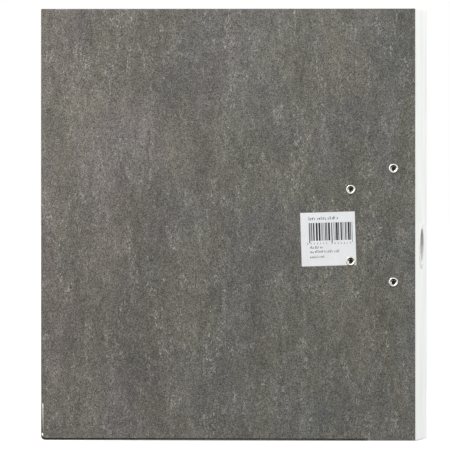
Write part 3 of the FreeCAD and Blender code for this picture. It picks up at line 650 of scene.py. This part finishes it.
def band_section(share):
    """Closed section of the band at a share of its thickness: outer line, then inner line."""
    outer, inner = band_line(FOLD_RADIUS), band_line(FOLD_RADIUS - BAND)
    middle = [((a + c) / 2, (b + d) / 2) for (a, b), (c, d) in zip(outer, inner)]
    thinned = [
        [(m + (a - m) * share, n + (b - n) * share) for (a, b), (m, n) in zip(line, middle)]
        for line in (outer, inner)
    ]
    return thinned[0] + thinned[1][::-1]


def fold_band(name, side, first, crease):
    """Paper that bends round the corner between a cover and the spine.

    side is -1 at the back cover and +1 at the front cover.
    """
    levels = [(BOTTOM + rise, share) for rise, share in BAND_ENDS]
    levels += [(TOP / 3, 1.0), (2 * TOP / 3, 1.0)]
    levels += [(TOP - drop, share) for drop, share in BAND_ENDS[::-1]]
    mesh = bmesh.new()
    rows = [
        points_to(mesh, [(FOLD_AXIS_X + a, side * (FOLD_AXIS_Y + b), z)
                         for a, b in band_section(share)])
        for z, share in levels
    ]
    count = len(rows[0]) // 2
    change = 2 + round(BEND_STEPS * COLOUR_CHANGE / 90)
    for low, high in zip(rows, rows[1:]):
        for index in range(2 * count):
            after = (index + 1) % (2 * count)
            face = mesh.faces.new((low[index], low[after], high[after], high[index]))
            face.material_index = 0 if index < change else (1 if index < count else 2)
    for row in (rows[0], rows[-1]):
        for index in range(count - 1):
            face = mesh.faces.new((row[index], row[index + 1], row[-2 - index], row[-1 - index]))
            face.material_index = 0 if index < change else 1
    piece = make(name, mesh, [MARBLED, WHITE_PAPER, LINING], None, [crease])
    diagonal = Vector((1, -side, 0)).normalized() * MM
    if first == "spine":
        diagonal = -diagonal
    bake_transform(piece)


fold_band("rear_fold_paper", -1, "back", "rear_crease")
fold_band("front_fold_paper", 1, "spine", "front_crease")


# ---------------------------------------------------------------- turned metal rings

def turned(mesh, profile, to_point, outline, painted_shade_rows=0):
    """Closed ring round an outline, from a profile of (distance, height over the face) pairs.

    outline(distance) gives the plan, and the first rows of faces, as many as the last argument
    says, take the second material, which is painted shade.
    """
    rows = [
        points_to(mesh, [to_point(u, v, height) for u, v in outline(reach)])
        for reach, height in profile
    ]
    for index, (first, second) in enumerate(zip(rows, rows[1:] + rows[:1])):
        bridge(mesh, first, second, material=1 if index < painted_shade_rows else 0)


# Blind bore, funnel mouth, flange, shank, and the rounded head on the plate's side
RIVET_PROFILE = [
    (0.02, -2.8), (1.1, -2.8), (1.26, -2.7), (1.3, -2.5), (1.3, -1.5), (1.3, -0.8), (1.32, -0.55),
    (1.4, -0.3), (1.55, -0.02), (1.78, 0.24), (2.1, 0.44), (2.45, 0.55), (2.8, 0.6), (3.2, 0.58),
    (3.42, 0.5), (3.55, 0.32), (RIVET_FLANGE, 0.08), (3.56, -0.02),
    (RIVET_SHANK, -0.02), (RIVET_SHANK, -3.25),
    (3.2, -3.3), (3.3, -3.42), (3.2, -3.62), (2.8, -3.8), (2.1, -3.93), (1.2, -3.98), (0.02, -3.98),
]
# The bore's first rows of faces take the dark metal, which is painted shade for the inside of the
# bore
BORE_ROWS = 6
mesh = bmesh.new()
for rivet_x, rivet_z in RIVETS:
    turned(mesh, RIVET_PROFILE, lambda u, v, height: back_point(u, v, -height),
           lambda reach: circle(rivet_x, rivet_z, reach, 64), BORE_ROWS)
make("mechanism_rivets_turned", mesh, [NICKEL, BORE_PAINTED_SHADE], "back", ["mechanism_rivets"],
     angle=50)

# Bore, rounded flange, sleeve, and the edge that is rolled over the washer
RING_PROFILE = [
    (RING_BORE, -3.15), (RING_BORE, 0.05),
    (12.56, 0.25), (12.75, 0.43), (13.1, 0.57), (13.6, 0.66), (14.4, 0.7), (15.2, 0.68),
    (15.9, 0.58), (16.5, 0.4), (16.88, 0.2), (17.0, 0.02),
    (RING_SLEEVE, 0.0), (RING_SLEEVE, -2.9),
    (13.55, -2.92), (13.6, -3.1), (13.45, -3.3), (13.1, -3.4), (12.75, -3.35),
]
mesh = bmesh.new()
turned(mesh, RING_PROFILE, lambda u, v, height: spine_point(u, v, -height),
       lambda reach: circle(0, RING_Z, reach, 128))
make("finger_ring_turned", mesh, [LACQUER], "spine", ["finger_ring"], angle=50)

# Opening, rounded flange, sleeve, and the flange on the inside
EYELET_PROFILE = [
    (0.0, -2.5), (0.0, 0.1), (0.08, 0.3), (0.3, 0.46), (0.7, 0.57), (1.3, 0.6), (2.0, 0.55),
    (2.6, 0.4), (2.92, 0.2), (3.0, 0.02),
    (SLOT_RIM, 0.0), (SLOT_RIM, -2.4),
    (2.6, -2.42), (2.68, -2.55), (2.4, -2.7), (1.6, -2.8), (0.8, -2.8), (0.25, -2.7),
]
for eyelet, (slot_x, slot_z) in zip(("upper", "lower"), SLOTS):
    mesh = bmesh.new()
    turned(mesh, EYELET_PROFILE, lambda u, v, height: front_point(u, v, -height),
           lambda reach: stadium(slot_x, slot_z, SLOT_RADIUS + reach, SLOT_REACH))
    make(f"slot_rim_{eyelet}", mesh, [NICKEL], "front", [f"slot_eyelet_{eyelet}"],
         angle=50)


# ---------------------------------------------------------------- edge guards

# Sheet thickness, the two sides' heights over the web, and the section's ellipse
GUARD_SHEET = 0.3
BOTTOM_LEG = 1.7
FORE_LEG = 2.2
ELLIPSE_DEPTH = 2.6
WEB_FLAT = 0.05
LEG_STEPS = 8
LIP_TURN = math.radians(3)

# (drop under the side's edge, shift inward) of the lip's rounded points on each face
LIP_OUTER = [(0.0, 0.14), (0.04, 0.03)]
LIP_INNER = [(0.04, -0.02)]

# The notch up the fore edge: where it starts and ends, its slope, and the side's height in it
NOTCH_START = 5.0
NOTCH_END = 6.1
NOTCH_SLOPE = 0.08
NOTCH_LEG = 1.15

# Extra sections close to the corner and the ends keep the shading of the long faces flat, and
# the sides are a little lower at the upper end
CORNER_STEPS = 8
STATION_GAP = 0.3
END_TAPER = 0.1


def guard_leg(leg, sheet, lip):
    """One side of the channel from its lip to the web, on an ellipse that never stands upright.

    sheet is how far the side lies inside the channel's outer face.
    """
    outer_start = math.asin(1 - BOTTOM_LEG / ELLIPSE_DEPTH)
    wide = (THICK / 2 + GUARD_SHEET - WEB_FLAT) / math.cos(outer_start) - sheet
    deep = ELLIPSE_DEPTH - sheet
    start = math.asin((ELLIPSE_DEPTH - leg) / deep)
    edge = WEB_FLAT + wide * math.cos(start)
    points = [(leg - drop, inward - edge) for drop, inward in lip]
    first = start + LIP_TURN
    for i in range(LEG_STEPS + 1):
        angle = first + (math.pi / 2 - first) * i / LEG_STEPS
        points.append((ELLIPSE_DEPTH - deep * math.sin(angle), -WEB_FLAT - wide * math.cos(angle)))
    return points


def guard_section(leg):
    """Outer and inner line of the channel: (height off the web, offset from the board's middle)."""
    lines = []
    for sheet, lip in ((0.0, LIP_OUTER), (GUARD_SHEET, LIP_INNER)):
        side = guard_leg(leg, sheet, lip)
        lines.append(side + [(height, -offset) for height, offset in reversed(side)])
    return lines


def guard_stations():
    """Places of the section along the guard: x, z, the direction of its sides, their height."""
    left = FORE - GUARD_SHEET
    low = BOTTOM - GUARD_SHEET
    turn = CORNER_ROUND + GUARD_SHEET
    end = guard_high.x
    stations = [(x, low, 0, 1, BOTTOM_LEG)
                for x in (end, end - STATION_GAP, left + turn + STATION_GAP, left + turn)]
    for i in range(1, CORNER_STEPS + 1):
        share = i / CORNER_STEPS
        across, up = math.sin(math.pi / 2 * share), math.cos(math.pi / 2 * share)
        leg = BOTTOM_LEG + (FORE_LEG - BOTTOM_LEG) * share
        stations.append((left + turn * (1 - across), low + turn * (1 - up), across, up, leg))
    for height, leg in [
        (low + turn + STATION_GAP, FORE_LEG),
        (NOTCH_START, FORE_LEG), (NOTCH_START + NOTCH_SLOPE, NOTCH_LEG),
        (NOTCH_END - NOTCH_SLOPE, NOTCH_LEG), (NOTCH_END, FORE_LEG),
        (guard_high.z - STATION_GAP, FORE_LEG), (guard_high.z, FORE_LEG - END_TAPER),
    ]:
        stations.append((left, height, 1, 0, leg))
    return stations


def edge_guard(name, side, body, replaces):
    """Thin steel channel along the bottom and up the fore edge."""
    mesh = bmesh.new()
    rows = []
    middle = OUTER - THICK / 2
    for x, z, across, up, leg in guard_stations():
        outer, inner = guard_section(leg)
        rows.append(points_to(mesh, [
            (x + across * height, side * (middle - offset), z + up * height)
            for height, offset in outer + inner[::-1]
        ]))
    for first, second in zip(rows, rows[1:]):
        bridge(mesh, first, second)
    for row in (rows[0], rows[-1]):
        cap(mesh, row[:len(outer)], row[len(outer):][::-1])
    make(name, mesh, [GUARD_STEEL], body, replaces, angle=40)


def cap(mesh, outer, inner):
    """Closes a channel's end between its outer and inner rows, which differ in length."""
    i = j = 0
    last_outer, last_inner = len(outer) - 1, len(inner) - 1
    while i < last_outer or j < last_inner:
        outer_is_next = i < last_outer and (i + 1) / last_outer <= (j + 1) / last_inner
        if outer_is_next or j == last_inner:
            mesh.faces.new((outer[i], outer[i + 1], inner[j]))
            i += 1
        else:
            mesh.faces.new((outer[i], inner[j + 1], inner[j]))
            j += 1


edge_guard("back_guard_channel", -1, "back", ["back_edge_guard"])
edge_guard("front_guard_channel", 1, "front", ["front_edge_guard"])


# ---------------------------------------------------------------- label and its print

LABEL_TURN = math.radians(1.8)
HALF_U = 20.35
HALF_V = 19.85
LABEL_THICK = 0.1
LABEL_CORNER = 0.35
LABEL_EDGE = 0.03
LABEL_HOLE = 2.6
label_middle = (label_low + label_high) / 2


def label_point(u, v, height):
    """u right and v up on the label as it is seen from behind the file."""
    x = label_middle.x + u * math.cos(LABEL_TURN) - v * math.sin(LABEL_TURN)
    z = label_middle.z + u * math.sin(LABEL_TURN) + v * math.cos(LABEL_TURN)
    return (x, -OUTER - height, z)


def label_sheet():
    """Thin label with small round corners and a hole under the rivet's flange."""
    def outline(inset):
        points = []
        for side_u, side_v, start in ((1, 1, 0), (-1, 1, 90), (-1, -1, 180), (1, -1, 270)):
            points += arc(side_u * (HALF_U - LABEL_CORNER), side_v * (HALF_V - LABEL_CORNER),
                          LABEL_CORNER - inset, start, start + 90, 3)
        return points

    rivet_x, rivet_z = RIVETS[3]
    du, dv = rivet_x - label_middle.x, rivet_z - label_middle.z
    hole_u = du * math.cos(LABEL_TURN) + dv * math.sin(LABEL_TURN)
    hole_v = -du * math.sin(LABEL_TURN) + dv * math.cos(LABEL_TURN)
    hole = circle(hole_u, hole_v, LABEL_HOLE, 40)
    mesh = bmesh.new()
    levels = [(0.0, 0.0), (0.0, LABEL_THICK - LABEL_EDGE), (LABEL_EDGE, LABEL_THICK)]
    rows = [points_to(mesh, [label_point(u, v, height) for u, v in outline(inset)])
            for inset, height in levels]
    for first, second in zip(rows, rows[1:]):
        bridge(mesh, first, second)
    rims = []
    for row, (inset, height) in ((rows[0], levels[0]), (rows[-1], levels[-1])):
        edge = [(vertex, u, v) for vertex, (u, v) in zip(row, outline(inset))]
        rims += fill(mesh, edge, [hole], lambda u, v: label_point(u, v, height))
    bridge(mesh, *rims)
    make("back_label_sheet", mesh, [LABEL_PAPER], "back", ["back_label"])


# Print, measured from the label's left edge to the right and from its top edge down
INK_SINK = 0.002
INK_RISE = 0.012
PRINT_LEFT = 6.2
PRINT_RIGHT = 2 * HALF_U - 2.2

# A stroke's stem and arm as shares of its width and of its row's height
STEM_WIDTH = 0.45
ARM_HEIGHT = 0.22
LOW_STROKE = 0.66

HEADING_END = 28.4
HEADING_LEVEL = 5.6
HEADING_HEIGHT = 2.5
HEADING_WIDTH = 1.35

# Bars on a grid of equal units, the longer ones at both ends and in the middle
BAR_TOP = 7.7
BAR_FOOT = 20.9
LONG_BAR_FOOT = 22.6
BAR_UNITS = 95
END_UNITS = 3
MIDDLE_UNITS = (45, 49)

TICK_GROUPS = [(4.6, 5.6), (7.4, 20.8), (22.8, PRINT_RIGHT - 0.8)]
TICK_TOP = 22.2
TICK_FOOT = 23.6
TICK_STEP = 2.3
TICK_WIDTH = 0.28
TICK_ARM = 0.85
TICK_ARM_HEIGHT = 0.25

# (length, level) of the three small rows at the foot
SMALL_ROWS = [(9.0, 26.6), (21.6, 29.9), (10.8, 33.7)]
SMALL_INDENT = 0.4
SMALL_HEIGHT = 1.9
SMALL_WIDTH = 0.95


def mark(mesh, left, right, top, foot):
    """One raised rectangle of print."""
    corners = [(left, foot), (right, foot), (right, top), (left, top)]
    rows = [
        points_to(mesh, [label_point(u - HALF_U, HALF_V - v, height) for u, v in corners])
        for height in (LABEL_THICK - INK_SINK, LABEL_THICK + INK_RISE)
    ]
    bridge(mesh, *rows)
    mesh.faces.new(rows[0])
    mesh.faces.new(rows[1])


def strokes(mesh, dice, left, right, base, tall, wide):
    """A row of plain strokes in groups, which spell nothing."""
    at = left
    while at < right:
        for _ in range(dice.randint(3, 8)):
            if at >= right:
                break
            width = wide * dice.uniform(0.5, 1.0)
            rise = tall * dice.choice((LOW_STROKE, LOW_STROKE, 1.0))
            stem = at + width * STEM_WIDTH
            mark(mesh, at, stem, base - rise, base)
            if dice.random() < 0.7:
                level = base - rise * dice.choice((0.0, 0.45, 0.8))
                mark(mesh, stem, at + width, level - tall * ARM_HEIGHT, level)
            at += width + wide * 0.3
        at += wide * 0.7


def bars(mesh, dice):
    """Upright bars and gaps of random widths."""
    unit = (PRINT_RIGHT - PRINT_LEFT) / BAR_UNITS
    at = 0
    while at < BAR_UNITS:
        width = dice.choice((1, 1, 2, 2, 3, 4))
        at_end = at < END_UNITS or at > BAR_UNITS - END_UNITS - 1
        in_middle = MIDDLE_UNITS[0] <= at <= MIDDLE_UNITS[1]
        foot = LONG_BAR_FOOT if at_end or in_middle else BAR_FOOT
        end = min(at + width, BAR_UNITS)
        mark(mesh, PRINT_LEFT + at * unit, PRINT_LEFT + end * unit, BAR_TOP, foot)
        at += width + dice.choice((1, 1, 2, 2, 3))


def ticks(mesh, dice):
    """Small marks under the bars in place of digits."""
    for left, right in TICK_GROUPS:
        at = left
        while at < right:
            mark(mesh, at, at + TICK_WIDTH, TICK_TOP, TICK_FOOT)
            if dice.random() < 0.6:
                mark(mesh, at + TICK_WIDTH, at + TICK_ARM, TICK_FOOT - TICK_ARM_HEIGHT, TICK_FOOT)
            at += TICK_STEP


def label_print():
    """Plain bars and strokes in place of the real label's print."""
    dice = random.Random(4)
    mesh = bmesh.new()
    strokes(mesh, dice, PRINT_LEFT, HEADING_END, HEADING_LEVEL, HEADING_HEIGHT, HEADING_WIDTH)
    bars(mesh, dice)
    ticks(mesh, dice)
    left = PRINT_LEFT + SMALL_INDENT
    for length, level in SMALL_ROWS:
        strokes(mesh, dice, left, left + length, level, SMALL_HEIGHT, SMALL_WIDTH)
    make("back_label_print", mesh, [INK], "back", ())


label_sheet()
label_print()


# ---------------------------------------------------------------- CAD nodes that stay

CAD_LOOKS = {
    BOARD: ["back_board", "spine_board", "front_board"],
    PLATE_STEEL: ["base_plate", "finger_ring_backing"],
    NICKEL: ["post_upper", "post_lower", "lever_pin", "arch_wire", "lever", "roller_pin",
             "compressor_bar", "clip_rivets"],
    SPRING_STEEL: ["compressor_clip_upper", "compressor_clip_lower"],
    PLASTIC: ["roller"],
}
for material, names in CAD_LOOKS.items():
    for node_name in names:
        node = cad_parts[node_name]
        for material_slot in node.material_slots:
            material_slot.link = "OBJECT"
            material_slot.material = material

# Pressed and cut edges of the sheet metal are rounded a little
EDGE_ROUNDS = {
    "base_plate": 0.25,
    "lever": 0.3,
    "compressor_bar": 0.3,
    "compressor_clip_upper": 0.12,
    "compressor_clip_lower": 0.12,
    "roller": 0.15,
}
for node_name, width in EDGE_ROUNDS.items():
    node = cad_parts[node_name]
    weld = node.modifiers.new("weld", "WELD")
    weld.merge_threshold = 1e-6
    bevel = node.modifiers.new("edges", "BEVEL")
    bevel.width = width * MM
    bevel.segments = 3
    bevel.limit_method = "ANGLE"
    bevel.angle_limit = math.radians(40)
    bevel.harden_normals = True
    bevel.use_clamp_overlap = True


# ---------------------------------------------------------------- floor, light and camera
# From here on lengths are in metres

WHITE = (1, 1, 1, 1)
FLOOR_GREY = (0.85, 0.85, 0.85, 1)
FLOOR_HALF = 30.0
FLOOR_DROP = 0.0004

# The floor glows a little to stay pale, and is not mirrored or bounced by the file
floor_look = Look("pale_floor", Base_Color=FLOOR_GREY, Roughness=0.9,
                  Emission_Color=WHITE, Emission_Strength=0.5)
floor_mesh = bmesh.new()
bmesh.ops.create_grid(floor_mesh, x_segments=4, y_segments=4, size=FLOOR_HALF)
floor_data = bpy.data.meshes.new("floor")
floor_mesh.to_mesh(floor_data)
floor_mesh.free()
floor = bpy.data.objects.new("floor", floor_data)
scene.collection.objects.link(floor)
floor.location = (0, 0, -FLOOR_DROP)
floor_data.materials.append(floor_look.material)
floor.visible_glossy = False
floor.visible_diffuse = False

world = bpy.data.worlds.new("studio")
scene.world = world
world.use_nodes = True
sky = world.node_tree
background = sky.nodes["Background"]
background.inputs["Color"].default_value = WHITE
direction = sky.nodes.new("ShaderNodeTexCoord").outputs["Generated"]
split = sky.nodes.new("ShaderNodeSeparateXYZ")
sky.links.new(direction, split.inputs["Vector"])


def sky_range(source, low, high, to_low, to_high):
    """Maps low..high to to_low..to_high softly, held at both ends."""
    made = sky.nodes.new("ShaderNodeMapRange")
    made.interpolation_type = "SMOOTHSTEP"
    sky.links.new(source, made.inputs["Value"])
    for socket, number in zip(made.inputs[1:5], (low, high, to_low, to_high)):
        socket.default_value = number
    return made.outputs["Result"]


def brighter(first, second):
    """The larger of two strengths."""
    made = sky.nodes.new("ShaderNodeMath")
    made.operation = "MAXIMUM"
    sky.links.new(first, made.inputs[0])
    sky.links.new(second, made.inputs[1])
    return made.outputs["Value"]


# A bright room above the horizon. Below it, the side behind the file and the spine's side
# are half lit, and the ground in front is dark, which the bottom guard mirrors.
ROOM_STRENGTH = 0.735
above = sky_range(split.outputs["Z"], -0.26, 0.0, 0.03, 1.0)
behind = sky_range(split.outputs["Y"], -0.4, 0.1, 0.0, 0.6)
spine_side = sky_range(split.outputs["X"], 0.25, 0.7, 0.0, 0.5)
room = sky.nodes.new("ShaderNodeMath")
room.operation = "MULTIPLY"
sky.links.new(brighter(above, brighter(behind, spine_side)), room.inputs[0])
room.inputs[1].default_value = ROOM_STRENGTH

# The camera itself sees a white background
path = sky.nodes.new("ShaderNodeLightPath")
seen = sky.nodes.new("ShaderNodeMix")
seen.data_type = "FLOAT"
sky.links.new(path.outputs["Is Camera Ray"], seen.inputs["Factor"])
sky.links.new(room.outputs["Value"], seen.inputs["A"])
seen.inputs["B"].default_value = 1.0
sky.links.new(seen.outputs["Result"], background.inputs["Strength"])


def softbox(name, place, aim, size, watts):
    """Rectangular light that the camera doesn't see."""
    data = bpy.data.lights.new(name, "AREA")
    data.shape = "RECTANGLE"
    data.size, data.size_y = size
    data.energy = watts
    light = bpy.data.objects.new(name, data)
    scene.collection.objects.link(light)
    light.location = place
    light.visible_camera = False
    light.rotation_euler = (Vector(aim) - Vector(place)).to_track_quat("-Z", "Y").to_euler()


softbox("front", (-0.33, -2.6, 0.62), (-0.33, 0.0, 0.62), (1.4, 1.1), 7)
softbox("key_left", (-0.55, -0.6, 0.78), (-0.08, 0.0, 0.24), (0.5, 0.5), 6.4)
softbox("fill_right", (1.8, -0.25, 0.9), (0.0, 0.0, 0.16), (1.0, 1.4), 17.3)
softbox("left_card", (-1.9, -2.0, 0.5), (0.0, 0.0, 0.3), (1.8, 1.0), 8)
softbox("back_wash", (0.3, 2.2, 1.3), (0.0, 0.0, 0.16), (1.6, 1.2), 22)

AZIMUTH = math.radians(6.8)
ELEVATION = math.radians(0.3)
DISTANCE = 11.4
FOCAL_LENGTH = 1230.5
FILM_WIDTH = 36
AIM = Vector((-2.47, -OUTER, 159.7)) * MM
back = Vector((
    math.sin(AZIMUTH) * math.cos(ELEVATION),
    -math.cos(AZIMUTH) * math.cos(ELEVATION),
    math.sin(ELEVATION),
))
camera_data = bpy.data.cameras.new("camera")
camera_data.lens = FOCAL_LENGTH
camera_data.sensor_width = FILM_WIDTH
camera_data.clip_end = 100
camera = bpy.data.objects.new("camera", camera_data)
scene.collection.objects.link(camera)
camera.location = AIM + back * DISTANCE
camera.rotation_mode = "QUATERNION"
camera.rotation_quaternion = (-back).to_track_quat("-Z", "Y")
scene.camera = camera
scene.view_settings.view_transform = "Standard"
